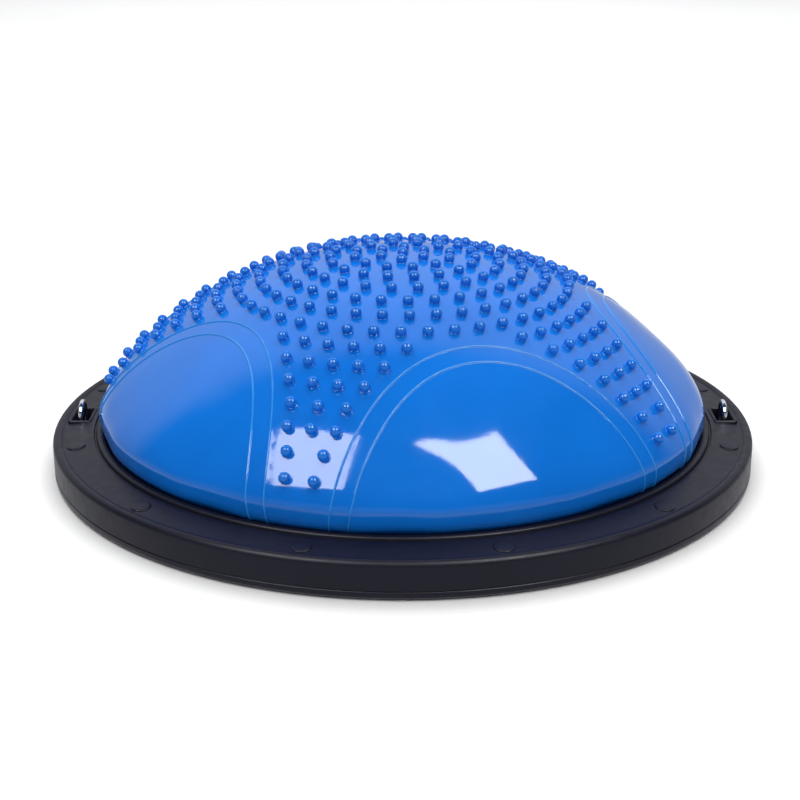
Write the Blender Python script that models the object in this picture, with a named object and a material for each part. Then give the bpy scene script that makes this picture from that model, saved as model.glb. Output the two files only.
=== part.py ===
"""Balance dome trainer: an inflated dome clamped to a round platform by a moulded ring.

Metres, +Z up. The origin is the centre of the platform at floor level, +X points at one of the
two wire loops. The platform stands on rubber feet; the ring is screwed down onto it from below
and holds the bladder's flange; the air plug sits in the bladder's neck, in the middle underneath.
"""

from math import cos, pi, radians, sin, tau

import bmesh
import bpy
from mathutils import Vector

MM = 0.001

# Driving dimensions
BASE_RADIUS = 290 * MM  # the trainer's outer diameter is 580 mm
SIDES = 48  # facets round every large turned piece
FIT_GAP = 0.3 * MM  # between pieces that touch

# Heights of the platform, from the floor up
FOOT_STAND = 1.5 * MM  # how far the feet stand out below the plate
PLATE_TOP = 4.5 * MM
PARTING = 7.0 * MM  # the line where the ring meets the plate's rim
RING_FOOT = PARTING + FIT_GAP
CLAMP_TOP = 20.2 * MM  # top of the plate's clamping rib
FLANGE_LOW = CLAMP_TOP + FIT_GAP
FLANGE_TOP = 24.5 * MM

# The ring's section
WALL = 3.2 * MM
SHOULDER_RADIUS = 4.6 * MM
SHOULDER_TOP = 29.5 * MM
LIP_INNER = 247.3 * MM
LEDGE_RADIUS = 272 * MM  # pitch circle of the clamp screws

# The dome
DOME_RADIUS = 250.8 * MM
DOME_WIDEST = 45 * MM  # height where the flank meets the upright wall under it
DOME_TOP = 170.2 * MM
DOME_FOOT_RADIUS = 246.4 * MM
DOME_FOOT = FLANGE_TOP + FIT_GAP
SKIN = 2.5 * MM
CROWN_POWER, FLANK_POWER = 2.032, 1.418  # how round the crown and the flank are
DOME_STEPS = 13

# The air plug and the neck that it closes
BORE_RADIUS = 5.05 * MM
NECK_RADIUS, NECK_TOP = 11 * MM, 22 * MM
HUB_RADIUS = 20 * MM

# Clamp screws and the posts that they join
SCREWS = 12
FIRST_SCREW = 15  # degrees from +X
POST_RADIUS, LOWER_POST_RADIUS = 5.5 * MM, 7 * MM
LOWER_POST_TOP = 9 * MM
SEAT = 6 * MM  # where a screw's head bears
HEAD_POCKET_RADIUS, SCREW_HOLE_RADIUS = 5.2 * MM, 2.4 * MM

# Feet
FEET = 8
FIRST_FOOT = 22.5
FOOT_CIRCLE = 225 * MM
FOOT_RADIUS, FOOT_HEIGHT = 12 * MM, 2.7 * MM

# Wire loops, one on each side, and the pockets that they stand in
LOOP_X = 270 * MM
LOOP_HALF = 10.5 * MM  # half the distance between the two legs
WIRE_RADIUS = 2 * MM
LOOP_SPRING = 31 * MM  # height where the legs end and the bend begins
LEG_END = 10.8 * MM
POCKET_FLOOR, POCKET_UNDER = 20 * MM, 17.5 * MM
FRAME_TOP = 30.6 * MM
NUT_TOP, NUT_HEIGHT, NUT_FLATS = 15.4 * MM, 3.2 * MM, 7 * MM

# Hand holds through the plate
HOLD_CENTRE = 267.5 * MM
HOLD_LENGTH, HOLD_WIDTH = 88 * MM, 20 * MM
HOLD_LIP, HOLD_LIP_TOP = 2 * MM, 11 * MM


def clear_scene():
    for obj in list(bpy.data.objects):
        bpy.data.objects.remove(obj, do_unlink=True)


def material(name, colour, roughness, metallic=0.0):
    made = bpy.data.materials.new(name)
    made.use_nodes = True
    shader = made.node_tree.nodes["Principled BSDF"]
    shader.inputs["Base Color"].default_value = (*colour, 1.0)
    shader.inputs["Roughness"].default_value = roughness
    shader.inputs["Metallic"].default_value = metallic
    return made


def place(name, mesh, finish, smooth=35):
    """A named object for this mesh, shaded smooth except across sharp edges."""
    obj = bpy.data.objects.new(name, mesh)
    bpy.context.scene.collection.objects.link(obj)
    mesh.shade_smooth()
    mesh.set_sharp_from_angle(angle=radians(smooth))
    if finish:
        mesh.materials.append(finish)
    return obj


def to_mesh(bm, name):
    bmesh.ops.recalc_face_normals(bm, faces=bm.faces)
    mesh = bpy.data.meshes.new(name)
    bm.to_mesh(mesh)
    bm.free()
    return mesh


def add_turned(bm, outline, sides, centre=(0, 0)):
    """Adds the solid that a closed outline of (radius, height) points sweeps round the Z axis."""
    rings = []
    for radius, height in outline:
        if radius == 0:
            rings.append([bm.verts.new((*centre, height))] * sides)
            continue
        angles = [tau * i / sides for i in range(sides)]
        rings.append([
            bm.verts.new((centre[0] + radius * cos(a), centre[1] + radius * sin(a), height))
            for a in angles
        ])
    for lower, upper in zip(rings, rings[1:] + rings[:1]):
        for i in range(sides):
            j = (i + 1) % sides
            corners = [lower[i], lower[j], upper[j], upper[i]]
            distinct = list(dict.fromkeys(corners))
            if len(distinct) > 2:
                bm.faces.new(distinct)


def turned(name, outline, sides=SIDES, centres=((0, 0),)):
    """A mesh of one turned solid, or of one at each centre."""
    bm = bmesh.new()
    for centre in centres:
        add_turned(bm, outline, sides, centre)
    return to_mesh(bm, name)


def cylinder_outline(radius, low, high):
    return [(0, low), (radius, low), (radius, high), (0, high)]


def arc(centre, radius, start, end, steps):
    """Points of (radius, height) along an arc, angles in degrees."""
    angles = [radians(start + (end - start) * i / steps) for i in range(steps + 1)]
    return [(centre[0] + radius * cos(a), centre[1] + radius * sin(a)) for a in angles]


def circle_of(count, radius, first):
    angles = [radians(first) + tau * i / count for i in range(count)]
    return [(radius * cos(a), radius * sin(a)) for a in angles]


def rounded_rectangle(width, length, corner, steps=3):
    """Outline points, width along X and length along Y."""
    points = []
    for quarter, (sx, sy) in enumerate(((1, 1), (-1, 1), (-1, -1), (1, -1))):
        x, y = sx * (width / 2 - corner), sy * (length / 2 - corner)
        for i in range(steps + 1):
            a = pi / 2 * (quarter + i / steps)
            points.append((x + corner * cos(a), y + corner * sin(a)))
    return points


def add_prism(bm, low_outline, low, high_outline, high, centre):
    """Adds the solid between two outlines with the same number of points."""
    lower = [bm.verts.new((centre[0] + x, centre[1] + y, low)) for x, y in low_outline]
    upper = [bm.verts.new((centre[0] + x, centre[1] + y, high)) for x, y in high_outline]
    count = len(lower)
    for i in range(count):
        j = (i + 1) % count
        bm.faces.new((lower[i], lower[j], upper[j], upper[i]))
    bm.faces.new(lower[::-1])
    bm.faces.new(upper)


def prisms(name, low_outline, low, high_outline, high, centres):
    bm = bmesh.new()
    for centre in centres:
        add_prism(bm, low_outline, low, high_outline, high, centre)
    return to_mesh(bm, name)


def combine(target, name, operation, *tool_meshes):
    """Adds a Boolean to target whose tool, a hidden guide, holds these meshes side by side."""
    bm = bmesh.new()
    for mesh in tool_meshes:
        bm.from_mesh(mesh)
    tool = place(name, to_mesh(bm, name), None)
    tool.hide_render = True
    tool.display_type = "WIRE"
    boolean = target.modifiers.new(tool.name, "BOOLEAN")
    boolean.operation = operation
    boolean.solver = "EXACT"
    boolean.object = tool


def ring_outline():
    """The ring's section: wall, shoulder bead, dished ledge, groove and lip, then its underside."""
    shoulder = (BASE_RADIUS - SHOULDER_RADIUS, SHOULDER_TOP - SHOULDER_RADIUS)
    ledge = [(281.0, 28.0), (268.0, 29.1), (256.6, 30.2)]
    groove = [(256.1, 28.9), (255.2, 28.9)]
    lip = [(254.6, 30.9), (253.7, 31.9), (251.5, 32.2), (249.2, 31.8), (247.8, 30.8)]
    under = [(254.2, 25.0), (256.8, 26.9), (281.0, 25.1)]
    inner_wall = BASE_RADIUS - WALL
    return [
        (BASE_RADIUS, RING_FOOT),
        *arc(shoulder, SHOULDER_RADIUS, 0, 90, 4),
        *((r * MM, z * MM) for r, z in ledge + groove + lip),
        (LIP_INNER, 29.5 * MM),
        (LIP_INNER, 25 * MM),
        *((r * MM, z * MM) for r, z in under),
        (inner_wall, 22.5 * MM),
        (inner_wall, RING_FOOT),
    ]


def make_top_ring(finish):
    """The ring, with its screw posts and the two pockets; its round holes are cut last."""
    ring = place("top_ring", turned("top_ring", ring_outline()), finish)
    screws = circle_of(SCREWS, LEDGE_RADIUS, FIRST_SCREW)
    pockets = ((LOOP_X, 0), (-LOOP_X, 0))
    legs = [(x, y) for x, _ in pockets for y in (LOOP_HALF, -LOOP_HALF)]
    post = cylinder_outline(POST_RADIUS, LOWER_POST_TOP + FIT_GAP, 27.5 * MM)
    pilot = cylinder_outline(SCREW_HOLE_RADIUS, 5 * MM, 24 * MM)
    leg_hole = cylinder_outline(WIRE_RADIUS + FIT_GAP, 10 * MM, 25 * MM)
    frame = rounded_rectangle(20.5 * MM, 34 * MM, 2.5 * MM)
    crest = rounded_rectangle(17.5 * MM, 31 * MM, 2 * MM)
    box = rounded_rectangle(17 * MM, 32 * MM, 2 * MM)
    floor = rounded_rectangle(9 * MM, 27.5 * MM, 1.5 * MM)
    mouth = rounded_rectangle(14 * MM, 29.5 * MM, 1.5 * MM)
    frames = prisms("frames", frame, 27.4 * MM, crest, FRAME_TOP, pockets)
    boxes = prisms("boxes", box, POCKET_UNDER, box, 27 * MM, pockets)
    hollows = prisms("hollows", floor, POCKET_FLOOR, mouth, 31 * MM, pockets)
    combine(ring, "ring_additions", "UNION", turned("posts", post, 10, screws), frames)
    combine(ring, "ring_pocket_boxes", "UNION", boxes)
    combine(ring, "ring_pocket_hollows", "DIFFERENCE", hollows)
    holes = turned("pilots", pilot, 10, screws), turned("leg_holes", leg_hole, 10, legs)
    combine(ring, "ring_holes", "DIFFERENCE", *holes)


def plate_outline():
    """The plate's section: a flat disc with a hub hole, a clamping rib, a spigot and a rim."""
    chamfer = 1.2 * MM
    spigot_outer = BASE_RADIUS - WALL - FIT_GAP
    spigot_inner = spigot_outer - 1.6 * MM
    rib_inner, rib_outer = 247 * MM, 251.5 * MM
    return [
        (HUB_RADIUS, FOOT_STAND),
        (BASE_RADIUS - chamfer, FOOT_STAND),
        (BASE_RADIUS, FOOT_STAND + chamfer),
        (BASE_RADIUS, PARTING),
        (spigot_outer, PARTING),
        (spigot_outer, 10 * MM),
        (spigot_inner, 10 * MM),
        (spigot_inner, PLATE_TOP),
        (rib_outer, PLATE_TOP),
        (rib_outer, CLAMP_TOP),
        (rib_inner, CLAMP_TOP),
        (rib_inner, PLATE_TOP),
        (HUB_RADIUS, PLATE_TOP),
    ]


def make_base_plate(finish):
    """The plate, with its screw posts, foot sockets and hand holds; screw holes are cut last."""
    plate = place("base_plate", turned("base_plate", plate_outline()), finish)
    screws = circle_of(SCREWS, LEDGE_RADIUS, FIRST_SCREW)
    feet = circle_of(FEET, FOOT_CIRCLE, FIRST_FOOT)
    holds = ((0, HOLD_CENTRE), (0, -HOLD_CENTRE))
    post = cylinder_outline(LOWER_POST_RADIUS, 3 * MM, LOWER_POST_TOP)
    head_pocket = cylinder_outline(HEAD_POCKET_RADIUS, 0, SEAT)
    screw_hole = cylinder_outline(SCREW_HOLE_RADIUS, 5 * MM, 12 * MM)
    foot_socket = cylinder_outline(FOOT_RADIUS + FIT_GAP, 0, FOOT_HEIGHT + FIT_GAP)
    hold = rounded_rectangle(HOLD_LENGTH, HOLD_WIDTH, 8 * MM)
    lip = rounded_rectangle(HOLD_LENGTH + 2 * HOLD_LIP, HOLD_WIDTH + 2 * HOLD_LIP, 10 * MM)
    lips = prisms("lips", lip, 3 * MM, lip, HOLD_LIP_TOP, holds)
    slots = prisms("slots", hold, 0, hold, 14 * MM, holds)
    pockets = turned("head_pockets", head_pocket, 10, screws)
    sockets = turned("foot_sockets", foot_socket, 12, feet)
    combine(plate, "plate_additions", "UNION", turned("posts", post, 10, screws), lips)
    combine(plate, "plate_pockets", "DIFFERENCE", pockets, sockets, slots)
    combine(plate, "plate_screw_holes", "DIFFERENCE", turned("screw_holes", screw_hole, 10, screws))


def dome_curve(inset):
    """The crown and flank of the dome, from its top to its widest point, this far inside it."""
    widest = DOME_RADIUS - inset
    rise = DOME_TOP - inset - DOME_WIDEST
    points = []
    for i in range(DOME_STEPS + 1):
        share = sin(pi / 2 * i / DOME_STEPS)  # closer steps where the flank turns down
        height = DOME_WIDEST + rise * max(0.0, 1 - share**CROWN_POWER) ** (1 / FLANK_POWER)
        points.append((widest * share, height))
    return points


def dome_foot():
    """The upright wall's tuck over the ring's lip and the foot inside it, then the inner wall."""
    tuck = [(250.8, 34.4), (250.3, 33.2), (249.2, 32.6), (247.6, 32.0), (246.4, 31.0)]
    inside = [(243.9, 32.6), (245.2, 33.9), (247.2, 34.8), (248.3, 36.0)]
    foot = [(DOME_FOOT_RADIUS, DOME_FOOT), (DOME_FOOT_RADIUS - SKIN, DOME_FOOT)]
    return [*((r * MM, z * MM) for r, z in tuck), *foot, *((r * MM, z * MM) for r, z in inside)]


def make_dome_skin(finish):
    outline = dome_curve(0) + dome_foot() + dome_curve(SKIN)[::-1]
    place("dome_skin", turned("dome_skin", outline), finish)


def make_bladder_base(finish):
    """The bladder's flat floor, with its clamped flange and the neck for the air plug."""
    floor_low = PLATE_TOP + FIT_GAP
    floor_top = floor_low + SKIN
    wall_outer, wall_inner, flange_edge = 243.2 * MM, 240.7 * MM, 255.2 * MM
    outline = [
        (BORE_RADIUS, floor_low),
        (wall_outer, floor_low),
        (wall_outer, FLANGE_LOW),
        (flange_edge, FLANGE_LOW),
        (flange_edge, FLANGE_TOP),
        (wall_inner, FLANGE_TOP),
        (wall_inner, floor_top),
        (NECK_RADIUS, floor_top),
        (NECK_RADIUS - 1.5 * MM, NECK_TOP),
        (BORE_RADIUS, NECK_TOP),
    ]
    place("bladder_base", turned("bladder_base", outline), finish)


def make_air_plug(finish):
    """A flared head, a tapered shank that closes the neck and a thin stem with a bulb end."""
    outline = [(0, 1.9), (5.5, 2.1), (8.2, 2.9), (9.0, 4.1), (8.6, 4.5), (4.75, 4.5)]
    outline += [(4.6, 26.5), (2.45, 28.8), (2.45, 64.0), (3.4, 66.0), (3.0, 68.2), (0, 69.0)]
    mesh = turned("air_plug", [(r * MM, z * MM) for r, z in outline], 16)
    place("air_plug", mesh, finish)


def make_clamp_screws(finish):
    outline = [(0, 3.9), (1.6, 3.9), (1.6, 2.6), (3.9, 2.6), (4.5, 3.3), (4.5, 5.7)]
    outline += [(2.0, 5.7), (2.0, 19.0), (0, 20.6)]
    mesh = turned("clamp_screw", [(r * MM, z * MM) for r, z in outline], 10)
    for i, (x, y) in enumerate(circle_of(SCREWS, LEDGE_RADIUS, FIRST_SCREW)):
        screw = place(f"clamp_screw_{i + 1:02d}", mesh, finish if i == 0 else None)
        screw.location = (x, y, 0)


def make_feet(finish):
    outline = [(0, 0.35), (7.5, 0.35), (8.3, 0), (11.2, 0), (12, 0.8), (12, 2.7), (0, 2.7)]
    mesh = turned("rubber_foot", [(r * MM, z * MM) for r, z in outline], 12)
    for i, (x, y) in enumerate(circle_of(FEET, FOOT_CIRCLE, FIRST_FOOT)):
        foot = place(f"rubber_foot_{i + 1}", mesh, finish if i == 0 else None)
        foot.location = (x, y, 0)


def loop_curve(name):
    """A wire bent into a U, standing in the YZ plane with its legs down."""
    curve = bpy.data.curves.new(name, "CURVE")
    curve.dimensions = "3D"
    curve.bevel_depth = WIRE_RADIUS
    curve.bevel_resolution = 2
    curve.use_fill_caps = True
    steps = 12
    bend = [pi * i / steps for i in range(steps + 1)]
    route = [(LOOP_HALF, LEG_END)]
    route += [(LOOP_HALF * cos(a), LOOP_SPRING + LOOP_HALF * sin(a)) for a in bend]
    route += [(-LOOP_HALF, LEG_END)]
    spline = curve.splines.new("POLY")
    spline.points.add(len(route) - 1)
    for point, (y, z) in zip(spline.points, route):
        point.co = (0, y, z, 1)
    return curve


def nut_mesh(name):
    """A hexagon nut round a wire leg, its bore clear of the wire."""
    bm = bmesh.new()
    corner = NUT_FLATS / 2 / cos(pi / 6)
    bore = WIRE_RADIUS + FIT_GAP
    low = NUT_TOP - NUT_HEIGHT
    outline = [(bore, low), (corner, low), (corner, NUT_TOP), (bore, NUT_TOP)]
    add_turned(bm, outline, 6)
    bore_scale = 1 / cos(pi / 6)  # so that the six-sided bore clears the round wire
    for vert in bm.verts:
        if Vector(vert.co.xy).length < bore + 0.1 * MM:
            vert.co.x *= bore_scale
            vert.co.y *= bore_scale
    return to_mesh(bm, name)


def make_wire_loops(chrome, steel):
    """The two loops, and under each pocket a backing plate and two nuts."""
    nut = nut_mesh("loop_nut")
    nut.materials.append(steel)
    for side, sign in (("right", 1), ("left", -1)):
        loop = bpy.data.objects.new(f"wire_loop_{side}", loop_curve(f"wire_loop_{side}"))
        bpy.context.scene.collection.objects.link(loop)
        loop.data.materials.append(chrome)
        loop.location.x = sign * LOOP_X
        strip = rounded_rectangle(12 * MM, 31 * MM, 2 * MM)
        top = POCKET_UNDER - FIT_GAP
        bottom = top - 1.5 * MM
        plate = place(
            f"backing_plate_{side}",
            prisms("backing_plate", strip, bottom, strip, top, ((0, 0),)),
            steel,
        )
        plate.location.x = sign * LOOP_X
        legs = [(sign * LOOP_X, y) for y in (LOOP_HALF, -LOOP_HALF)]
        hole = cylinder_outline(WIRE_RADIUS + FIT_GAP, 10 * MM, 25 * MM)
        combine(plate, f"backing_holes_{side}", "DIFFERENCE", turned("leg_holes", hole, 10, legs))
        for end, y in (("rear", LOOP_HALF), ("front", -LOOP_HALF)):
            piece = place(f"loop_nut_{side}_{end}", nut, None)
            piece.location = (sign * LOOP_X, y, 0)


def main():
    clear_scene()
    black = material("black_plastic", (0.025, 0.025, 0.032), 0.45)
    blue = material("blue_vinyl", (0.01, 0.19, 0.75), 0.2)
    bladder = material("blue_vinyl_floor", (0.01, 0.15, 0.6), 0.4)
    chrome = material("chrome", (0.8, 0.8, 0.82), 0.08, 1.0)
    steel = material("zinc_steel", (0.55, 0.56, 0.58), 0.35, 1.0)
    rubber = material("foot_rubber", (0.02, 0.02, 0.02), 0.8)
    plug = material("plug_plastic", (0.82, 0.84, 0.86), 0.3)
    make_top_ring(black)
    make_base_plate(black)
    make_dome_skin(blue)
    make_bladder_base(bladder)
    make_air_plug(plug)
    make_clamp_screws(steel)
    make_feet(rubber)
    make_wire_loops(chrome, steel)


main()
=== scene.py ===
from math import cos, hypot, pi, radians, sin, tau

import bmesh
import bpy
import numpy as np
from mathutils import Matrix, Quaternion, Vector
from mathutils.geometry import delaunay_2d_cdt


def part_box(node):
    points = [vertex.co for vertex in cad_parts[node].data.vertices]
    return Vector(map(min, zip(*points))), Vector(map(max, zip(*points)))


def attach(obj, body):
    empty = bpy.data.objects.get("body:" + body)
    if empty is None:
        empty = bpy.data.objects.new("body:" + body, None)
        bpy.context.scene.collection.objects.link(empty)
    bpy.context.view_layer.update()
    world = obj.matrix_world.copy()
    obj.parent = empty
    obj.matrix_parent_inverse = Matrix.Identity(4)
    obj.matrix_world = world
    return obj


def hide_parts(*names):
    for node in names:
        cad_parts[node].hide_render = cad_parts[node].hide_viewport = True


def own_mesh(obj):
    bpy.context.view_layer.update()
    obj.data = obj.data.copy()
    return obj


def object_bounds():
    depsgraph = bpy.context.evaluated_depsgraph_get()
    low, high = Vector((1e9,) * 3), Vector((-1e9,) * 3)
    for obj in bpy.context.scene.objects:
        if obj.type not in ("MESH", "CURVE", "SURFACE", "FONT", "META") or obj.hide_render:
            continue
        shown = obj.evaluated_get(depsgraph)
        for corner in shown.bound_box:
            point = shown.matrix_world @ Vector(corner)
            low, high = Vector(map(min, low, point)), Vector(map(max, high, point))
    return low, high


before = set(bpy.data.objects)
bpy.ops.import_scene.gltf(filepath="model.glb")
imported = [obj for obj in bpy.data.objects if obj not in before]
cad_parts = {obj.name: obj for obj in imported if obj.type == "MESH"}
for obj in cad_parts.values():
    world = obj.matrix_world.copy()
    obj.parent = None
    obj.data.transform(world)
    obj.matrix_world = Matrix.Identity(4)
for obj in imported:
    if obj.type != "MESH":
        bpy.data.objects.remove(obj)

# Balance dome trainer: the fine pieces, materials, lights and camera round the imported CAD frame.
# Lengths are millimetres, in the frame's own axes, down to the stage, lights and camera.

cad_low, cad_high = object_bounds()

MM = 0.001
BASE_RADIUS = cad_high.x / MM
DOME_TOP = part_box("dome_skin")[1].z / MM
DOME_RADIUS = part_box("dome_skin")[1].x / MM
DOME_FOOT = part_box("dome_skin")[0].z / MM

# The dome's section: close to the CAD solid's, with its powers fitted again and a wall that curls in
DOME_WIDEST = 46.5  # height where the flank meets the wall under it
CROWN_POWER, FLANK_POWER = 2.062, 1.372  # how round the crown and the flank are
WALL_CURL = (  # the wall as (how far inside the widest radius, height)
    (0.0, 44.2), (0.08, 41.6), (0.25, 39.0), (0.65, 36.8), (1.3, 34.9), (2.3, 33.2),
)
TUCK_RADIUS, TUCK_LOW = 246.4, 31.0  # where the skin goes down behind the lip
SKIN = 2.5  # its thickness
CROWN_FLAT, CROWN_FLAT_RADIUS = 1.6, 120.0  # the nubbed crown is this much flatter

# The dome's pattern. Distances are measured along the skin, from the middle of the crown.
FOLDS = 5  # the number of lobes, and of gaps between them
GAP_TURN = -107.45  # direction of one gap between two lobes, degrees
LOBE_TURN = GAP_TURN + 180 / FOLDS
OUTLINES = ((156.6, 0.0044), (172.9, 0.0050))  # start and bend of a lobe's outer and inner outline
BEAD_HALF, BEAD_HEIGHT = 1.1, 0.85  # half the width, and the height, of an outline's ridge
HOLLOW = 1.4  # how far the upper part of a lobe lies below the dome's plain curve
HOLLOW_FULL, HOLLOW_END, HOLLOW_FADE = 50, 100, 0.85  # full this far in, then faded by this share
RING_PITCH = 19.75  # between the full rings of nubs round the middle one
RING_TURNS = (-93.0, -78.5, -81.3, -81.3, -87.6, -87.5, -82.0)  # direction of one nub of each ring
GAP_RINGS = (  # distance, nubs in each gap, degrees between them
    (156.6, 6, 7.46), (175.9, 5, 6.48), (195.1, 4, 5.98), (214.6, 3, 5.99),
    (234.0, 3, 4.83), (253.0, 2, 6.90), (272.4, 2, 5.18),
)
BALL_RADIUS, BALL_CENTRE = 4.35, 2.7  # a nub is a ball whose centre is this far above the skin
BALL_ANGLES = (-23, -9, 8, 25, 42, 59, 75)  # where the ball's rings of points lie, degrees
NUB_NECK = ((4.7, 0.0), (4.2, 0.08), (3.88, 0.3), (3.8, 0.65))  # its foot, as (radius, height)

# The dome's mesh
NUB_SIDES, RIM_SIDES, RIM_ROWS = 18, 480, 14
PROFILE_STEPS = 3000  # of the section from the crown to its widest radius
SPACING = 4.0  # between the plain skin's points
BEAD_RAILS, RAIL_STEP = 9, 2.4  # lines of points across a ridge, and the step along them
RAIL_STOP = 1.5  # the ridges end this far before the skin's lower edge
NUB_CLEARANCE, RAIL_CLEARANCE = 7.4, 1.6  # plain points stay this far off
BATCH = 400  # places compared with all the points at a time
INNER_ROWS = 16  # of the plain inner wall, from its foot to the crown


# ---------------------------------------------------------------- meshes

def shown(name, mesh, body, slot, finish, *nodes):
    """The piece made of this mesh: it rides on a body and stands for CAD nodes."""
    piece = bpy.data.objects.new(name, mesh)
    bpy.context.scene.collection.objects.link(piece)
    mesh.materials.clear()
    mesh.materials.append(finish)
    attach(piece, body)
    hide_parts(*nodes)
    return piece


def to_mesh(bm, name):
    """A mesh in metres from a bmesh in millimetres."""
    bmesh.ops.recalc_face_normals(bm, faces=bm.faces)
    bmesh.ops.scale(bm, vec=(MM, MM, MM), verts=bm.verts)
    mesh = bpy.data.meshes.new(name)
    bm.to_mesh(mesh)
    bm.free()
    return mesh


def shade(mesh, sharp=32):
    mesh.shade_smooth()
    mesh.set_sharp_from_angle(angle=radians(sharp))
    return mesh


def add_turned(bm, outline, sides, centre=(0, 0), lift=None):
    """Adds the solid that a closed outline of (radius, height) sweeps round the Z axis."""
    rings = []
    for radius, height in outline:
        if radius == 0:
            rise = lift(*centre) if lift else 0
            rings.append([bm.verts.new((*centre, height + rise))] * sides)
            continue
        ring = []
        for i in range(sides):
            x = centre[0] + radius * cos(tau * i / sides)
            y = centre[1] + radius * sin(tau * i / sides)
            ring.append(bm.verts.new((x, y, height + (lift(x, y) if lift else 0))))
        rings.append(ring)
    for lower, upper in zip(rings, rings[1:] + rings[:1]):
        for i in range(sides):
            j = (i + 1) % sides
            distinct = list(dict.fromkeys([lower[i], lower[j], upper[j], upper[i]]))
            if len(distinct) > 2:
                bm.faces.new(distinct)


def turned(name, outline, sides, centres=((0, 0),), lift=None):
    bm = bmesh.new()
    for centre in centres:
        add_turned(bm, outline, sides, centre, lift)
    return to_mesh(bm, name)


def cylinder_outline(radius, low, high):
    return [(0, low), (radius, low), (radius, high), (0, high)]


def arc(centre, radius, start, end, steps):
    angles = [radians(start + (end - start) * i / steps) for i in range(steps + 1)]
    return [(centre[0] + radius * cos(a), centre[1] + radius * sin(a)) for a in angles]


def circle_of(count, radius, first):
    angles = [radians(first) + tau * i / count for i in range(count)]
    return [(radius * cos(a), radius * sin(a)) for a in angles]


def flowing(points, steps=4):
    """A smooth line through these points (Catmull-Rom)."""
    p = [np.array(q, float) for q in points]
    p = [2 * p[0] - p[1], *p, 2 * p[-1] - p[-2]]
    line = []
    for a, b, c, d in zip(p, p[1:], p[2:], p[3:]):
        for i in range(steps):
            t = i / steps
            q = 2 * b + (c - a) * t + (2 * a - 5 * b + 4 * c - d) * t**2
            line.append(tuple(0.5 * (q + (3 * b - a - 3 * c + d) * t**3)))
    return [*line, tuple(points[-1])]


def rounded_rectangle(width, length, corner, steps=8):
    """Outline points, width along X and length along Y."""
    points = []
    for quarter, (sx, sy) in enumerate(((1, 1), (-1, 1), (-1, -1), (1, -1))):
        x, y = sx * (width / 2 - corner), sy * (length / 2 - corner)
        for i in range(steps + 1):
            a = pi / 2 * (quarter + i / steps)
            points.append((x + corner * cos(a), y + corner * sin(a)))
    return points


def lofts(name, layers, centres):
    """Solids between stacked outlines, each layer a (height, outline) with as many points."""
    bm = bmesh.new()
    for cx, cy in centres:
        stack = [[bm.verts.new((cx + x, cy + y, z)) for x, y in line] for z, line in layers]
        for lower, upper in zip(stack, stack[1:]):
            for i in range(len(lower)):
                j = (i + 1) % len(lower)
                bm.faces.new((lower[i], lower[j], upper[j], upper[i]))
        bm.faces.new(stack[0][::-1])
        bm.faces.new(stack[-1])
    return to_mesh(bm, name)


def combined(mesh, *steps):
    """The mesh after these exact Booleans, each an operation and the meshes of its tool."""
    made = []
    target = bpy.data.objects.new(mesh.name, mesh)
    made.append(target)
    for operation, *parts in steps:
        bm = bmesh.new()
        for part in parts:
            bm.from_mesh(part)
        tool_mesh = bpy.data.meshes.new("tool")
        bm.to_mesh(tool_mesh)
        bm.free()
        tool = bpy.data.objects.new("tool", tool_mesh)
        made.append(tool)
        boolean = target.modifiers.new("cut", "BOOLEAN")
        boolean.operation, boolean.solver, boolean.object = operation, "EXACT", tool
    for obj in made:
        bpy.context.scene.collection.objects.link(obj)
    graph = bpy.context.evaluated_depsgraph_get()
    result = bpy.data.meshes.new_from_object(target.evaluated_get(graph))
    result.name = mesh.name
    for obj in made:
        bpy.data.objects.remove(obj)
    return result


# ---------------------------------------------------------------- materials

def map_range(tree, value, low, high, start, end):
    """A node that goes from low to high as the value goes from start to end."""
    node = tree.nodes.new("ShaderNodeMapRange")
    sockets = ("From Min", "From Max", "To Min", "To Max")
    for socket, number in zip(sockets, (start, end, low, high)):
        node.inputs[socket].default_value = number
    tree.links.new(value, node.inputs["Value"])
    return node


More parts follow.
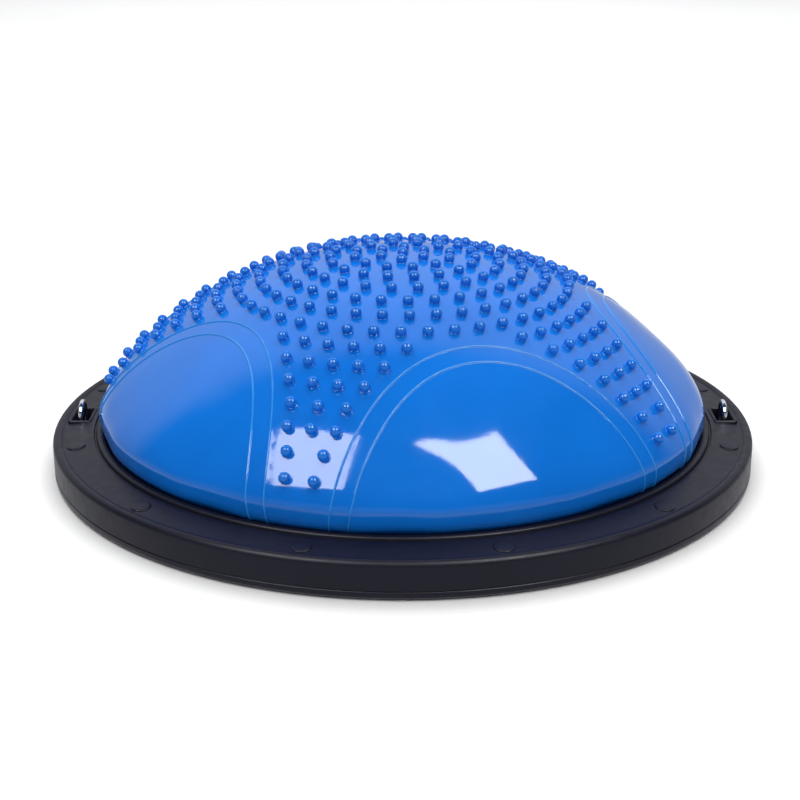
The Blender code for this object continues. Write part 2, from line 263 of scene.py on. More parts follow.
class Recipe:
    """Builds one procedural material: a Principled shader fed by noise in object coordinates."""

    def __init__(self, name, **values):
        self.material = bpy.data.materials.new(name)
        self.material.use_nodes = True
        self.nodes = self.material.node_tree.nodes
        self.links = self.material.node_tree.links
        self.shader = self.nodes["Principled BSDF"]
        self.place = self.nodes.new("ShaderNodeTexCoord").outputs["Object"]
        self.normal = None
        for socket, value in values.items():
            self.shader.inputs[socket.replace("_", " ")].default_value = value

    def noise(self, size, detail=2.0, stretch=(1, 1, 1), rough=0.5):
        """Noise whose features are about this many millimetres across."""
        mapping = self.nodes.new("ShaderNodeMapping")
        mapping.inputs["Scale"].default_value = stretch
        self.links.new(self.place, mapping.inputs["Vector"])
        node = self.nodes.new("ShaderNodeTexNoise")
        node.inputs["Scale"].default_value = 1 / (size * MM)
        node.inputs["Detail"].default_value = detail
        node.inputs["Roughness"].default_value = rough
        self.links.new(mapping.outputs["Vector"], node.inputs["Vector"])
        return node.outputs["Fac"]

    def attribute(self, name):
        node = self.nodes.new("ShaderNodeAttribute")
        node.attribute_name = name
        return node.outputs["Fac"]

    def spread(self, value, low, high, start=0.3, end=0.7):
        """A value from low to high as the input goes from start to end."""
        tree = self.material.node_tree
        return map_range(tree, value, low, high, start, end).outputs["Result"]

    def mix(self, factor, a, b):
        node = self.nodes.new("ShaderNodeMix")
        node.data_type = "RGBA"
        self.links.new(factor, node.inputs["Factor"])
        for socket, colour in ((node.inputs[6], a), (node.inputs[7], b)):
            if isinstance(colour, tuple):
                socket.default_value = (*colour, 1)
            else:
                self.links.new(colour, socket)
        return node.outputs[2]

    def colour(self, value):
        self.links.new(value, self.shader.inputs["Base Color"])

    def roughness(self, value):
        self.links.new(value, self.shader.inputs["Roughness"])

    def bump(self, height, depth, strength=1.0):
        """Adds relief of this many millimetres to what is there already."""
        node = self.nodes.new("ShaderNodeBump")
        node.inputs["Distance"].default_value = depth * MM
        node.inputs["Strength"].default_value = strength
        self.links.new(height, node.inputs["Height"])
        if self.normal:
            self.links.new(self.normal, node.inputs["Normal"])
        self.normal = node.outputs["Normal"]
        self.links.new(self.normal, self.shader.inputs["Normal"])


def vinyl(name, deep, light, rough, ridge_and_highlight=None):
    """Glossy soft vinyl: slightly uneven blue, faint orange peel, rubbed duller in patches, and a
    painted highlight along the raised outlines when its colour is given.
    """
    made = Recipe(name, IOR=1.5)
    shades = made.mix(made.spread(made.noise(70, 3), 0, 1), deep, light)
    if ridge_and_highlight:  # painted highlight: the thin raised outlines are coloured a lighter blue
        shades = made.mix(made.attribute("ridge_and_highlight"), shades, ridge_and_highlight)
    made.colour(shades)
    made.roughness(made.spread(made.noise(26, 5), rough * 0.75, rough * 1.5))
    made.bump(made.noise(55, 1), 0.3)
    made.bump(made.noise(2.6, 2), 0.02)
    return made.material


def moulded(name, dark, light, rough):
    """Satin moulded plastic with a fine spark-eroded grain and faint scuffs."""
    made = Recipe(name, IOR=1.5, Specular_IOR_Level=0.24)
    shades = made.mix(made.spread(made.noise(45, 4), 0, 1), dark, light)
    scuffs = made.spread(made.noise(5, 6, (1, 0.25, 1), 0.65), 0, 0.12, 0.6, 0.85)
    made.colour(made.mix(scuffs, shades, tuple(c * 2.4 for c in light)))
    made.roughness(made.spread(made.noise(9, 5), rough * 0.9, rough * 1.12))
    made.bump(made.noise(0.9, 2), 0.035)
    return made.material


def metal(name, dark, light, rough, brushed=(1, 1, 1), grain=1.2):
    made = Recipe(name, Metallic=1.0)
    made.colour(made.mix(made.spread(made.noise(6, 4), 0, 1), dark, light))
    made.roughness(made.spread(made.noise(grain, 4, brushed), rough * 0.7, rough * 1.5))
    made.bump(made.noise(grain, 3, brushed), 0.008)
    return made.material


def rubber(name, dark, light):
    made = Recipe(name, IOR=1.5)
    dust = made.spread(made.noise(4, 6, rough=0.7), 0, 1, 0.45, 0.75)
    made.colour(made.mix(dust, dark, light))
    made.roughness(made.spread(made.noise(3, 4), 0.62, 0.85))
    made.bump(made.noise(0.7, 3), 0.05)
    return made.material


def milky(name):
    """Milky soft plastic of the air plug."""
    made = Recipe(name, IOR=1.49)
    made.colour(made.mix(made.spread(made.noise(7, 3), 0, 1), (0.74, 0.77, 0.8), (0.86, 0.87, 0.88)))
    made.roughness(made.spread(made.noise(3, 4), 0.28, 0.45))
    made.bump(made.noise(1.4, 3), 0.02)
    return made.material


# the last colour is a painted highlight: the lobes' raised outlines are coloured a lighter blue
BLUE = vinyl("blue_vinyl", (0.0025, 0.155, 0.635), (0.0035, 0.177, 0.71), 0.06, (0.03, 0.31, 0.81))
FLOOR_BLUE = vinyl("blue_vinyl_floor", (0.004, 0.11, 0.48), (0.007, 0.14, 0.58), 0.3)
BLACK = moulded("black_plastic", (0.0036, 0.0036, 0.0130), (0.0052, 0.0052, 0.0160), 0.40)
CHROME = metal("chrome", (0.72, 0.73, 0.76), (0.83, 0.83, 0.85), 0.07)
ZINC = metal("zinc_steel", (0.42, 0.43, 0.44), (0.6, 0.61, 0.62), 0.34, (1, 0.15, 1), 0.8)
FOOT = rubber("foot_rubber", (0.012, 0.012, 0.012), (0.03, 0.029, 0.028))
PLUG = milky("plug_plastic")


# ---------------------------------------------------------------- dome

class Section:
    """The dome's section as functions of the distance along the skin from the crown."""

    def __init__(self):
        t = np.linspace(0, pi / 2, PROFILE_STEPS)
        share = np.sin(t)
        r = DOME_RADIUS * share
        fall = np.maximum(0, 1 - share**CROWN_POWER) ** (1 / FLANK_POWER)
        z = DOME_WIDEST + (DOME_TOP - DOME_WIDEST) * fall
        z -= CROWN_FLAT * np.clip(1 - (r / CROWN_FLAT_RADIUS) ** 2, 0, None) ** 2
        wall = [(DOME_RADIUS - inset, height) for inset, height in WALL_CURL]
        foot = np.array(flowing([*wall, (TUCK_RADIUS, TUCK_LOW)], 8))
        r = np.concatenate([r, foot[:, 0]])
        z = np.concatenate([z, foot[:, 1]])
        s = np.concatenate([[0], np.cumsum(np.hypot(np.diff(r), np.diff(z)))])
        self.s, self.r, self.z = s, r, z
        dr, dz = np.gradient(r, s), np.gradient(z, s)
        size = np.hypot(dr, dz)
        self.out, self.up = -dz / size, dr / size  # the normal's outward and upward parts
        self.widest = s[PROFILE_STEPS - 1]
        self.end = s[-1]

    def at(self, distance):
        return [np.interp(distance, self.s, row) for row in (self.r, self.z, self.out, self.up)]


section = Section()
RIM_ANGLES = tau * np.arange(RIM_SIDES) / RIM_SIDES


def steps_up(value, start, end):
    t = np.clip((value - start) / (end - start), 0, 1)
    return t * t * (3 - 2 * t)


def lobes(u, v):
    """How far up a lobe's raised outline each place is, from 0 to 1, and how deep in its hollow."""
    ridge_and_highlight, hollow = np.zeros_like(u), np.zeros_like(u)
    for fold in range(FOLDS):
        turn = radians(LOBE_TURN) + tau * fold / FOLDS
        along = u * cos(turn) + v * sin(turn)
        across = v * cos(turn) - u * sin(turn)
        for start, bend in OUTLINES:
            inside = (along - start - bend * across**2) / np.hypot(1, 2 * bend * across)
            bead = np.cos(np.clip(inside / BEAD_HALF, -1, 1) * pi / 2) ** 2
            ridge_and_highlight += np.where(along > 0, bead, 0)
        fade = HOLLOW_FADE * steps_up(inside, HOLLOW_FULL, HOLLOW_END)
        depth = steps_up(inside, 0, HOLLOW_FULL) * (1 - fade)
        hollow += np.where(along > 0, depth, 0)
    return ridge_and_highlight, hollow


def relief(u, v):
    """Height over the plain dome."""
    ridge_and_highlight, hollow = lobes(u, v)
    return BEAD_HEIGHT * ridge_and_highlight - HOLLOW * hollow


def on_dome(u, v):
    """Points of the dome's skin, and its normals, for places on the unrolled skin."""
    distance = np.maximum(np.hypot(u, v), 1e-6)
    c, k = u / distance, v / distance
    r, z, out, up = section.at(distance)
    rise, eps = relief(u, v), 0.02
    by_u = (relief(u + eps, v) - relief(u - eps, v)) / (2 * eps)
    by_v = (relief(u, v + eps) - relief(u, v - eps)) / (2 * eps)
    slope = by_u * c + by_v * k
    side = (by_v * c - by_u * k) * distance / np.maximum(r, 1e-6)
    points = np.stack([(r + rise * out) * c, (r + rise * out) * k, z + rise * up], 1)
    normals = np.stack([
        out * c - slope * up * c + side * k,
        out * k - slope * up * k - side * c,
        up + slope * out,
    ], 1)
    return points, normals / np.linalg.norm(normals, axis=1)[:, None]


def nub_sites():
    """Where the nubs stand, as (distance, direction)."""
    sites = [(0.0, 0.0)]
    for ring, turn in enumerate(RING_TURNS, 1):
        count = 6 * ring
        sites += [(RING_PITCH * ring, radians(turn) + tau * i / count) for i in range(count)]
    for distance, count, pitch in GAP_RINGS:
        for fold in range(FOLDS):
            middle = GAP_TURN + 360 / FOLDS * fold
            turns = [middle + pitch * (i - (count - 1) / 2) for i in range(count)]
            sites += [(distance, radians(turn)) for turn in turns]
    return sites


def polar(distance, angles):
    return np.stack([distance * np.cos(angles), distance * np.sin(angles)], 1)


def outline_rails():
    """Points of the rails that carry the raised outlines, on the unrolled skin."""
    rails = []
    for fold in range(FOLDS):
        turn = radians(LOBE_TURN) + tau * fold / FOLDS
        for start, bend in OUTLINES:
            across = 0.0
            line = []
            while True:
                along = start + bend * across**2
                if hypot(along, across) > section.end - RAIL_STOP:
                    break
                line += [(across, along)] if across == 0 else [(across, along), (-across, along)]
                across += RAIL_STEP / hypot(1, 2 * bend * across)
            for x, y in line:
                slope = 2 * bend * x
                nx, ny = -slope / hypot(1, slope), 1 / hypot(1, slope)
                for offset in np.linspace(-BEAD_HALF, BEAD_HALF, BEAD_RAILS):
                    a, b = x + offset * nx, y + offset * ny
                    rails.append((b * cos(turn) - a * sin(turn), b * sin(turn) + a * cos(turn)))
    return np.array(rails)


def background(sites, rails):
    """Even points over the unrolled skin, clear of the nubs and the outlines."""
    points = []
    rows = int(section.widest / SPACING)
    for row in range(1, rows):
        distance = section.widest * row / rows
        count = max(6, round(tau * distance / SPACING))
        angles = tau * (np.arange(count) + 0.5 * (row % 2)) / count
        points.append(polar(distance, angles))
    for distance in np.linspace(section.widest, section.end, RIM_ROWS):
        points.append(polar(distance, RIM_ANGLES))
    points = np.concatenate(points)
    keep = np.ones(len(points), bool)
    for places, clearance in ((sites, NUB_CLEARANCE), (rails, RAIL_CLEARANCE)):
        for start in range(0, len(places), BATCH):
            part = places[start:start + BATCH]
            gap = np.hypot(*(points[:, None] - part[None]).transpose(2, 0, 1)).min(1)
            keep &= gap > clearance
    keep[-RIM_SIDES:] = True
    return points[keep]


def nub_outline():
    """The nub's section over the skin, as (radius, height), from its foot to its tip."""
    turns = [radians(angle) for angle in BALL_ANGLES]
    ball = [(BALL_RADIUS * cos(a), BALL_CENTRE + BALL_RADIUS * sin(a)) for a in turns]
    return [*NUB_NECK, *ball, (0.0, BALL_CENTRE + BALL_RADIUS)]


class Shell:
    """The dome's points, normals and faces, as they are added."""

    def __init__(self):
        self.points, self.normals, self.faces = [], [], []
        self.total = 0

    def add(self, points, normals):
        """Adds points and gives their numbers."""
        self.points.append(points)
        self.normals.append(normals)
        self.total += len(points)
        return range(self.total - len(points), self.total)

    def join(self, ring, nearby, inwards=False):
        """Faces between a ring of points and the next ring, or the one point that closes it."""
        for i in range(len(ring)):
            a, b = i, (i + 1) % len(ring)
            if inwards:
                a, b = b, a
            end = [nearby[b], nearby[a]] if len(nearby) > 1 else [nearby[0]]
            self.faces.append([ring[a], ring[b], *end])


def round_on_dome(u, v):
    """Places round this one on the unrolled skin that make a circle of radius 1 on the dome."""
    distance = hypot(u, v)
    c, k, widen = 1.0, 0.0, 1.0
    if distance > 1:
        c, k, widen = u / distance, v / distance, distance / section.at(distance)[0]
    turns = tau * np.arange(NUB_SIDES) / NUB_SIDES
    a, b = np.cos(turns), np.sin(turns) * widen
    return np.stack([a * c - b * k, a * k + b * c], 1)


def sheet_faces(plane, nub_points):
    """Triangles over the unrolled skin, apart from those inside a nub's foot."""
    _, _, triangles, sources, _, _ = delaunay_2d_cdt([Vector(p) for p in plane], [], [], 0, 1e-5)
    faces = []
    for triangle in triangles:
        corners = [sources[i][0] for i in triangle]
        nubs = {i // NUB_SIDES if i < nub_points else None for i in corners}
        if len(nubs) > 1 or None in nubs:
            faces.append(corners)
    return faces


def add_nubs(shell, sites, rings):
    """The nubs, each on its foot in the sheet and square to the skin there."""
    outline = np.array(nub_outline())
    run = np.gradient(outline, axis=0)
    lean = np.stack([run[:, 1], -run[:, 0]], 1)
    lean /= np.linalg.norm(lean, axis=1)[:, None]
    for nub, (site, ring) in enumerate(zip(sites, rings)):
        _, axis = on_dome(site[:1], site[1:])
        below = range(nub * NUB_SIDES, (nub + 1) * NUB_SIDES)
        for (radius, height), (out, up) in zip(outline[1:], lean[1:]):
            spread = radius * ring if radius else np.zeros((1, 2))
            skin, _ = on_dome(site[0] + spread[:, 0], site[1] + spread[:, 1])
            normals = axis
            if radius:
                outward = skin - skin.mean(0)
                outward /= np.linalg.norm(outward, axis=1)[:, None]
                normals = out * outward + up * axis
            above = shell.add(skin + height * axis, normals)
            shell.join(below, above)
            below = above


def add_inside(shell, rim):
    """The rim behind the ring's lip and the plain inner wall, closed under the crown."""
    inset = SKIN + HOLLOW
    tucked = TUCK_RADIUS - SKIN
    wall = [(TUCK_RADIUS, DOME_FOOT), (tucked, DOME_FOOT), (tucked, TUCK_LOW)]
    for distance in np.linspace(section.end, 0, INNER_ROWS)[1:-1]:
        r, z, out, up = section.at(distance)
        wall.append((r - inset * out, z - inset * up))
    for r, z in wall:
        points = np.column_stack([polar(r, RIM_ANGLES), np.full(RIM_SIDES, z)])
        ring = shell.add(points, np.zeros_like(points))
        shell.join(rim, ring, inwards=True)
        rim = ring
    crown = np.array([[0, 0, section.at(0)[1] - inset]])
    shell.join(rim, shell.add(crown, np.zeros_like(crown)), inwards=True)


def dome_mesh():
    """One closed skin: crown, lobes, outlines and nubs outside, and a plain inner wall."""
    sites = np.array([(d * cos(a), d * sin(a)) for d, a in nub_sites()])
    rings = [round_on_dome(u, v) for u, v in sites]
    feet = np.concatenate([site + NUB_NECK[0][0] * ring for site, ring in zip(sites, rings)])
    rails = outline_rails()
    plane = np.concatenate([feet, rails, background(sites, rails)])
    u, v = plane.T
    shell = Shell()
    sheet = shell.add(*on_dome(u, v))
    shell.faces = sheet_faces(plane, len(feet))
    add_nubs(shell, sites, rings)
    inside = shell.total
    add_inside(shell, sheet[-RIM_SIDES:])

    points, normals = np.concatenate(shell.points) * MM, np.concatenate(shell.normals)
    mesh = bpy.data.meshes.new("dome_skin_fine")
    mesh.from_pydata(points.tolist(), [], shell.faces)
    mesh.validate()
    mesh.shade_smooth()
    normals[inside:] = [vertex.normal for vertex in mesh.vertices[inside:]]
    mesh.normals_split_custom_set_from_vertices(normals.tolist())
    # the ridge's share at each skin point, which also sets where the painted highlight goes in the
    # vinyl's colour
    ridge_and_highlight = np.zeros(len(points))
    ridge_and_highlight[:len(plane)] = lobes(u, v)[0]
    mesh.attributes.new("ridge_and_highlight", "FLOAT", "POINT").data.foreach_set("value", ridge_and_highlight)
    return mesh


dome = shown("dome_skin_fine", dome_mesh(), "dome", "blue_vinyl", BLUE, "dome_skin")


# ---------------------------------------------------------------- platform

# The sizes below are the CAD solids' own.
SIDES = 288  # of the ring and the plate
PARTING, FIT_GAP = 7.0, 0.3  # the height where ring and plate meet, and the gap between them
WALL = 3.2  # the ring's outer wall
LEDGE_RADII, LEDGE_HEIGHTS = (256.6, 268.0, 281.0), (30.2, 29.1, 28.0)
SCREW_CIRCLE, SCREWS, FIRST_SCREW = 272, 12, 15  # radius, number and first angle
LOOP_X, LOOP_HALF, WIRE_RADIUS = 270, 10.5, 2
PLATE_LOW, PLATE_TOP, CLAMP_TOP = 1.5, 4.5, 20.2  # heights on the plate
HUB_RADIUS = 20
FOOT_CIRCLE, FEET, FIRST_FOOT, FOOT_RADIUS = 225, 8, 22.5, 12
HOLD_CENTRE, HOLD_LENGTH, HOLD_WIDTH = 267.5, 88, 20  # the hand holds
SCREW_PLACES = circle_of(SCREWS, SCREW_CIRCLE, FIRST_SCREW)
FOOT_PLACES = circle_of(FEET, FOOT_CIRCLE, FIRST_FOOT)
POCKETS = ((LOOP_X, 0), (-LOOP_X, 0))


def ledge_height(x, y):
    """Height of the ring's dished ledge, for what stands on it."""
    return float(np.interp(hypot(x, y), LEDGE_RADII, LEDGE_HEIGHTS))


def ring_outline():
    """Wall, shoulder bead, dished ledge, groove and lip, then the underside."""
    shoulder = (BASE_RADIUS - 4.6, 24.9)
    ledge = [(285.4, 29.5), (283.6, 29.2), (282.0, 28.35), (280.2, 28.1), (268.0, 29.1)]
    ledge += [(257.2, 30.15)]
    groove = [(256.9, 30.1), (256.5, 29.6), (256.2, 28.9), (255.3, 28.9), (254.9, 29.8)]
    lip = [(254.75, 30.7), (254.2, 31.5), (253.2, 32.0), (251.5, 32.2), (249.6, 31.95)]
    lip += [(248.3, 31.3), (247.6, 30.4), (247.3, 29.3)]
    inner_wall = BASE_RADIUS - WALL
    return [
        (BASE_RADIUS - 0.4, PARTING + FIT_GAP),
        (BASE_RADIUS, PARTING + FIT_GAP + 0.4),
        (BASE_RADIUS, 16.0),
        *arc(shoulder, 4.6, 0, 84, 9),
        *flowing(ledge, 4),
        *groove,
        *flowing(lip, 2),
        (247.3, 25.0), (254.2, 25.0), (256.8, 26.9), (281.0, 25.1), (inner_wall, 22.5),
        (inner_wall, PARTING + FIT_GAP),
    ]


def make_ring():
    """The ring with its low bosses, the two framed pockets and the holes for the loops' legs."""
    boss = [(0, -1.5), (7.7, -1.5), (7.7, 0.2), (7.5, 0.55), (7.1, 0.82), (6.5, 0.96), (5.6, 1.02)]
    boss += [(0, 1.05)]
    bosses = turned("bosses", boss, 40, SCREW_PLACES, ledge_height)
    post = turned("posts", cylinder_outline(5.5, 9.3, 27.5), 24, SCREW_PLACES)
    frame_steps = [
        (27.4, rounded_rectangle(20.5, 34, 3.0)), (29.4, rounded_rectangle(20.1, 33.6, 3.0)),
        (30.2, rounded_rectangle(19.4, 32.9, 2.7)), (30.6, rounded_rectangle(18.3, 31.8, 2.3)),
    ]
    hollow_steps = [
        (20, rounded_rectangle(9, 27.5, 2.0)), (29.6, rounded_rectangle(13.6, 29.2, 2.0)),
        (30.3, rounded_rectangle(14.4, 29.9, 2.2)), (31.0, rounded_rectangle(16.2, 31.2, 2.6)),
    ]
    box_steps = [(17.5, rounded_rectangle(17, 32, 2)), (27, rounded_rectangle(17, 32, 2))]
    legs = [(x, y) for x, _ in POCKETS for y in (LOOP_HALF, -LOOP_HALF)]
    mesh = combined(
        turned("top_ring_fine", ring_outline(), SIDES),
        ("UNION", post, lofts("frames", frame_steps, POCKETS), bosses),
        ("UNION", lofts("boxes", box_steps, POCKETS)),
        ("DIFFERENCE", lofts("hollows", hollow_steps, POCKETS)),
        ("DIFFERENCE", turned("pilots", cylinder_outline(2.4, 5, 24), 20, SCREW_PLACES),
         turned("leg_holes", cylinder_outline(WIRE_RADIUS + FIT_GAP, 10, 25), 24, legs)),
    )
    return shown("top_ring_fine", shade(mesh), "base", "black_plastic", BLACK, "top_ring")


def groove_line(radius, width=2.4, depth=0.7):
    """A shallow rounded groove in the plate's flat underside, going outwards."""
    half = width / 2
    return [(radius - half, PLATE_LOW), (radius - half * 0.6, PLATE_LOW + depth * 0.8),
            (radius, PLATE_LOW + depth), (radius + half * 0.6, PLATE_LOW + depth * 0.8),
            (radius + half, PLATE_LOW)]


def plate_outline():
    spigot_outer = BASE_RADIUS - WALL - FIT_GAP
    return [
        (HUB_RADIUS, PLATE_LOW + 0.8), (HUB_RADIUS + 0.8, PLATE_LOW),
        *groove_line(32), *groove_line(120), *groove_line(126), *groove_line(205), *groove_line(245),
        (BASE_RADIUS - 2.0, PLATE_LOW),
        (BASE_RADIUS - 1.0, PLATE_LOW + 0.3), (BASE_RADIUS - 0.3, PLATE_LOW + 1.0),
        (BASE_RADIUS, PLATE_LOW + 2.0),
        (BASE_RADIUS, PARTING - 0.4), (BASE_RADIUS - 0.4, PARTING),
        (spigot_outer, PARTING), (spigot_outer, 10), (spigot_outer - 1.6, 10),
        (spigot_outer - 1.6, PLATE_TOP), (251.5, PLATE_TOP), (251.5, CLAMP_TOP),
        (247, CLAMP_TOP), (247, PLATE_TOP), (HUB_RADIUS, PLATE_TOP),
    ]


def make_plate():
    """The plate with its screw posts, foot sockets and hand holds."""
    holds = ((0, HOLD_CENTRE), (0, -HOLD_CENTRE))
    lip_line = rounded_rectangle(HOLD_LENGTH + 4, HOLD_WIDTH + 4, 10)
    wide = rounded_rectangle(HOLD_LENGTH + 2, HOLD_WIDTH + 2, 9)
    slot = rounded_rectangle(HOLD_LENGTH, HOLD_WIDTH, 8)
    mouth, hole = FOOT_RADIUS + 0.9, FOOT_RADIUS + FIT_GAP
    socket = [(0, 0), (mouth, 0), (mouth, PLATE_LOW), (hole, PLATE_LOW + 0.6), (hole, 3.0), (0, 3.0)]
    head = [(0, 0), (5.9, 0), (5.9, PLATE_LOW), (5.2, PLATE_LOW + 0.7), (5.2, 6), (0, 6)]
    mesh = combined(
        turned("base_plate_fine", plate_outline(), SIDES),
        ("UNION", turned("posts", cylinder_outline(7, 3, 9), 32, SCREW_PLACES),
         lofts("lips", [(3, lip_line), (11, lip_line)], holds)),
        ("DIFFERENCE", turned("heads", head, 32, SCREW_PLACES),
         turned("sockets", socket, 48, FOOT_PLACES),
         lofts("slots", [(0, wide), (PLATE_LOW, wide), (PLATE_LOW + 1, slot), (14, slot)], holds)),
        ("DIFFERENCE", turned("screw_holes", cylinder_outline(2.4, 5, 12), 20, SCREW_PLACES)),
    )
    return shown("base_plate_fine", shade(mesh), "base", "black_plastic", BLACK, "base_plate")


def placed(stem, mesh, places, slot, finish):
    """One piece of this mesh for each numbered CAD node, at its place."""
    nodes = sorted(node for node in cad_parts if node.startswith(stem))
    for node, (x, y) in zip(nodes, places, strict=True):
        piece = shown(f"{node}_fine", mesh, "base", slot, finish, node)
        piece.location = (x * MM, y * MM, 0)


def make_feet():
    outline = [(0, 0.35), (3.4, 0.35), (3.7, 0.75), (4.3, 0.75), (4.6, 0.35), (7.2, 0.35)]
    outline += [(7.9, 0.12), (8.5, 0), (10.9, 0), (11.6, 0.25), (12, 0.9), (12, 2.7), (0, 2.7)]
    mesh = shade(turned("rubber_foot_fine", outline, 48), 40)
    placed("rubber_foot", mesh, FOOT_PLACES, "foot_rubber", FOOT)


def make_screws():
    """Pan-head screws with a cross recess, and the ridges of a coarse thread on the shank."""
    shank = [(2.0, 5.7)]
    for turn in range(9):
        low = 7.0 + 1.35 * turn
        shank += [(1.75, low), (2.0, low + 0.45), (2.0, low + 0.6), (1.75, low + 1.05)]
    head = [(0, 2.6), (2.6, 2.6), (3.6, 2.85), (4.25, 3.35), (4.5, 4.0), (4.5, 5.7)]
    body = turned("clamp_screw_fine", [*head, *shank, (1.7, 19.2), (0, 20.6)], 32)
    arm = [(0.45, -0.45), (2.3, -0.45), (2.3, 0.45)]  # one arm of the cross, then turned four ways
    cross = arm + [(-y, x) for x, y in arm] + [(-x, -y) for x, y in arm] + [(y, -x) for x, y in arm]
    layers = [(z, [(x * size, y * size) for x, y in cross]) for z, size in ((2.0, 1.1), (4.3, 0.6))]
    mesh = shade(combined(body, ("DIFFERENCE", lofts("recess", layers, ((0, 0),)))), 30)
    placed("clamp_screw", mesh, SCREW_PLACES, "zinc_steel", ZINC)


def make_plug():
    """The plug's cap, the body that fills the neck, and a thin stem with a round end."""
    outline = [(0, 2.3), (3.2, 2.3), (3.9, 1.95), (5.4, 2.05), (7.2, 2.45), (8.4, 3.0), (8.95, 3.6)]
    outline += [(9.0, 4.1), (8.85, 4.4), (8.4, 4.5), (5.2, 4.5), (4.85, 4.75), (4.75, 5.2)]
    outline += [(4.6, 26.0), (4.4, 26.9)]
    outline += [(2.75, 28.6), (2.5, 29.0), (2.45, 30), (2.45, 63.6), (2.7, 64.6), (3.25, 65.5)]
    outline += [(3.4, 66.3), (3.3, 67.3), (2.9, 68.2), (1.9, 68.8), (0, 69.0)]
    mesh = shade(turned("air_plug_fine", outline, 48), 38)
    return shown("air_plug_fine", mesh, "plug", "plug_plastic", PLUG, "air_plug")


def make_loops():
    """Bent wire loops, each one round bar with its ends chamfered under the pocket."""
    spring, leg_end = 31.0, 10.8
    steps, sides = 36, 24
    bend = [pi * i / steps for i in range(steps + 1)]
    route = [(LOOP_HALF, leg_end, 0.8), (LOOP_HALF, leg_end + 0.5, 1.0), (LOOP_HALF, 20.0, 1.0)]
    route += [(LOOP_HALF * cos(a), spring + LOOP_HALF * sin(a), 1.0) for a in bend]
    route += [(-y, z, size) for y, z, size in route[2::-1]]
    for side, x in (("left", -LOOP_X), ("right", LOOP_X)):
        bm = bmesh.new()
        rings = []
        for i, (y, z, size) in enumerate(route):
            before, after = route[max(i - 1, 0)], route[min(i + 1, len(route) - 1)]
            tangent = Vector((0, after[0] - before[0], after[1] - before[1])).normalized()
            across = tangent.cross(Vector((1, 0, 0)))
            ring = []
            for k in range(sides):
                a = tau * k / sides
                offset = WIRE_RADIUS * size * (Vector((cos(a), 0, 0)) + sin(a) * across)
                ring.append(bm.verts.new(Vector((x, y, z)) + offset))
            rings.append(ring)
        for lower, upper in zip(rings, rings[1:]):
            for k in range(sides):
                bm.faces.new((lower[k], lower[(k + 1) % sides], upper[(k + 1) % sides], upper[k]))
        bm.faces.new(rings[0])
        bm.faces.new(rings[-1])
        mesh = shade(to_mesh(bm, f"wire_loop_{side}_fine"), 35)
        shown(f"wire_loop_{side}_fine", mesh, "base", "chrome", CHROME, f"wire_loop_{side}")


make_ring()
make_plate()
make_feet()
make_screws()
make_plug()
make_loops()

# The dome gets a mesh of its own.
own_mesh(dome)

# These CAD pieces are shown as they are.
kept = {"bladder_base": FLOOR_BLUE}
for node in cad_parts:
    if node.startswith(("backing_plate", "loop_nut")):
        kept[node] = ZINC
for node, finish in kept.items():
    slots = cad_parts[node].data.materials
    slots.clear()
    slots.append(finish)


# ---------------------------------------------------------------- stage, lights and camera
# Places and sizes here are in metres, as Blender has them.

SOFTBOX_AIM, SOFTBOX_DISTANCE = (0, -0.1, 0.08), 1.6
ROOM_GLOW = 0.07  # of the dark walls and ceiling
LENS, SHIFT = 73.36, -0.0034
CAMERA_PLACE, CAMERA_PITCH = (0, -1.2934, 0.5042), 0.3423


def make_floor():
    bm = bmesh.new()
    bmesh.ops.create_grid(bm, x_segments=8, y_segments=8, size=6)
    mesh = bpy.data.meshes.new("floor")
    bm.to_mesh(mesh)
    bm.free()
    recipe = Recipe("pale_floor", IOR=1.45, Specular_IOR_Level=0.2)
    patches = recipe.spread(recipe.noise(600, 2), 0, 1)
    recipe.colour(recipe.mix(patches, (0.9, 0.9, 0.9), (0.93, 0.93, 0.93)))
    recipe.roughness(recipe.spread(recipe.noise(90, 2), 0.7, 0.85))
    mesh.materials.append(recipe.material)
    floor = bpy.data.objects.new("floor", mesh)
    bpy.context.scene.collection.objects.link(floor)
    floor.visible_glossy = False  # the dim room shows in the glossy vinyl, not the bright floor


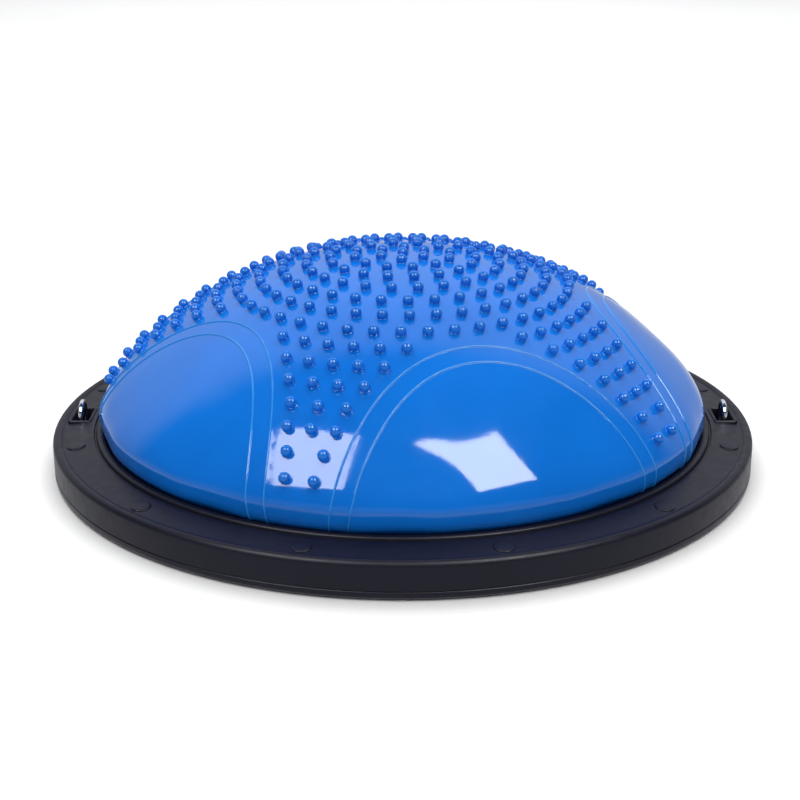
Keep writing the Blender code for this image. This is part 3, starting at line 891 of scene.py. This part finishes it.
def make_world():
    """A dim room: a pale backdrop behind the object, and a faint glow all round the horizon."""
    world = bpy.data.worlds.new("studio")
    world.use_nodes = True
    nodes, links = world.node_tree.nodes, world.node_tree.links
    parts = nodes.new("ShaderNodeSeparateXYZ")
    links.new(nodes.new("ShaderNodeTexCoord").outputs["Generated"], parts.inputs[0])

    def ramp(value, start, end, low, high):
        node = map_range(world.node_tree, value, low, high, start, end)
        node.interpolation_type = "SMOOTHSTEP"
        return node.outputs["Result"]

    def joined(operation, a, b):
        node = nodes.new("ShaderNodeMath")
        node.operation = operation
        for socket, value in zip(node.inputs, (a, b)):
            if isinstance(value, float):
                socket.default_value = value
            else:
                links.new(value, socket)
        return node.outputs["Value"]

    y, z = parts.outputs["Y"], parts.outputs["Z"]
    # the backdrop starts a little behind the object and is brighter towards its top
    behind = joined("MULTIPLY", ramp(y, 0.26, 0.46, 0.0, 1.0), ramp(z, -0.1, 0.8, 0.35, 0.85))
    # the horizon's glow reaches higher on the camera's side
    tilted = joined("ADD", z, joined("MULTIPLY", y, 0.25))
    horizon = ramp(tilted, 0.06, 0.18, 0.34, 0.0)
    ground = ramp(z, -0.3, 0.0, 0.4, 0.0)
    room = joined("ADD", ground, ROOM_GLOW)
    glow = joined("ADD", joined("MAXIMUM", behind, horizon), room)
    links.new(glow, nodes["Background"].inputs["Strength"])
    nodes["Background"].inputs["Color"].default_value = (0.96, 0.97, 1, 1)
    bpy.context.scene.world = world


def area_light(name, size, watts, glossy=True, diffuse=True):
    light = bpy.data.lights.new(name, "AREA")
    light.shape = "RECTANGLE"
    light.size, light.size_y = size
    light.energy = watts
    lamp = bpy.data.objects.new(name, light)
    bpy.context.scene.collection.objects.link(lamp)
    lamp.visible_glossy, lamp.visible_diffuse = glossy, diffuse
    return lamp


def softbox(name, azimuth, elevation, size, watts, roll):
    """A light that only shows as a reflection in the dome; azimuth 0 is the camera's side."""
    lamp = area_light(name, size, watts, diffuse=False)
    a, e = radians(azimuth), radians(elevation)
    back = Vector((sin(a) * cos(e), -cos(a) * cos(e), sin(e)))
    lamp.location = Vector(SOFTBOX_AIM) + SOFTBOX_DISTANCE * back
    turn = (-back).to_track_quat("-Z", "Y") @ Quaternion((0, 0, 1), radians(roll))
    lamp.rotation_euler = turn.to_euler()


def make_camera():
    """The camera fitted to the photo: straight in front of the dome and looking slightly down."""
    data = bpy.data.cameras.new("camera")
    data.sensor_width, data.lens = 36, LENS
    data.shift_x = SHIFT
    camera = bpy.data.objects.new("camera", data)
    bpy.context.scene.collection.objects.link(camera)
    camera.location = CAMERA_PLACE
    camera.rotation_euler = (pi / 2 - CAMERA_PITCH, 0, 0)
    bpy.context.scene.camera = camera


make_floor()
make_world()
softbox("left_softbox", -45.6, 49.8, (0.69, 0.92), 21, roll=23.7)
softbox("right_softbox", 42.5, 50.5, (0.64, 0.89), 25, roll=-2)
area_light("overhead", (4.4, 9.0), 245, glossy=False).location = (0, 0.4, 3.0)
make_camera()
bpy.context.scene.view_settings.view_transform = "Standard"
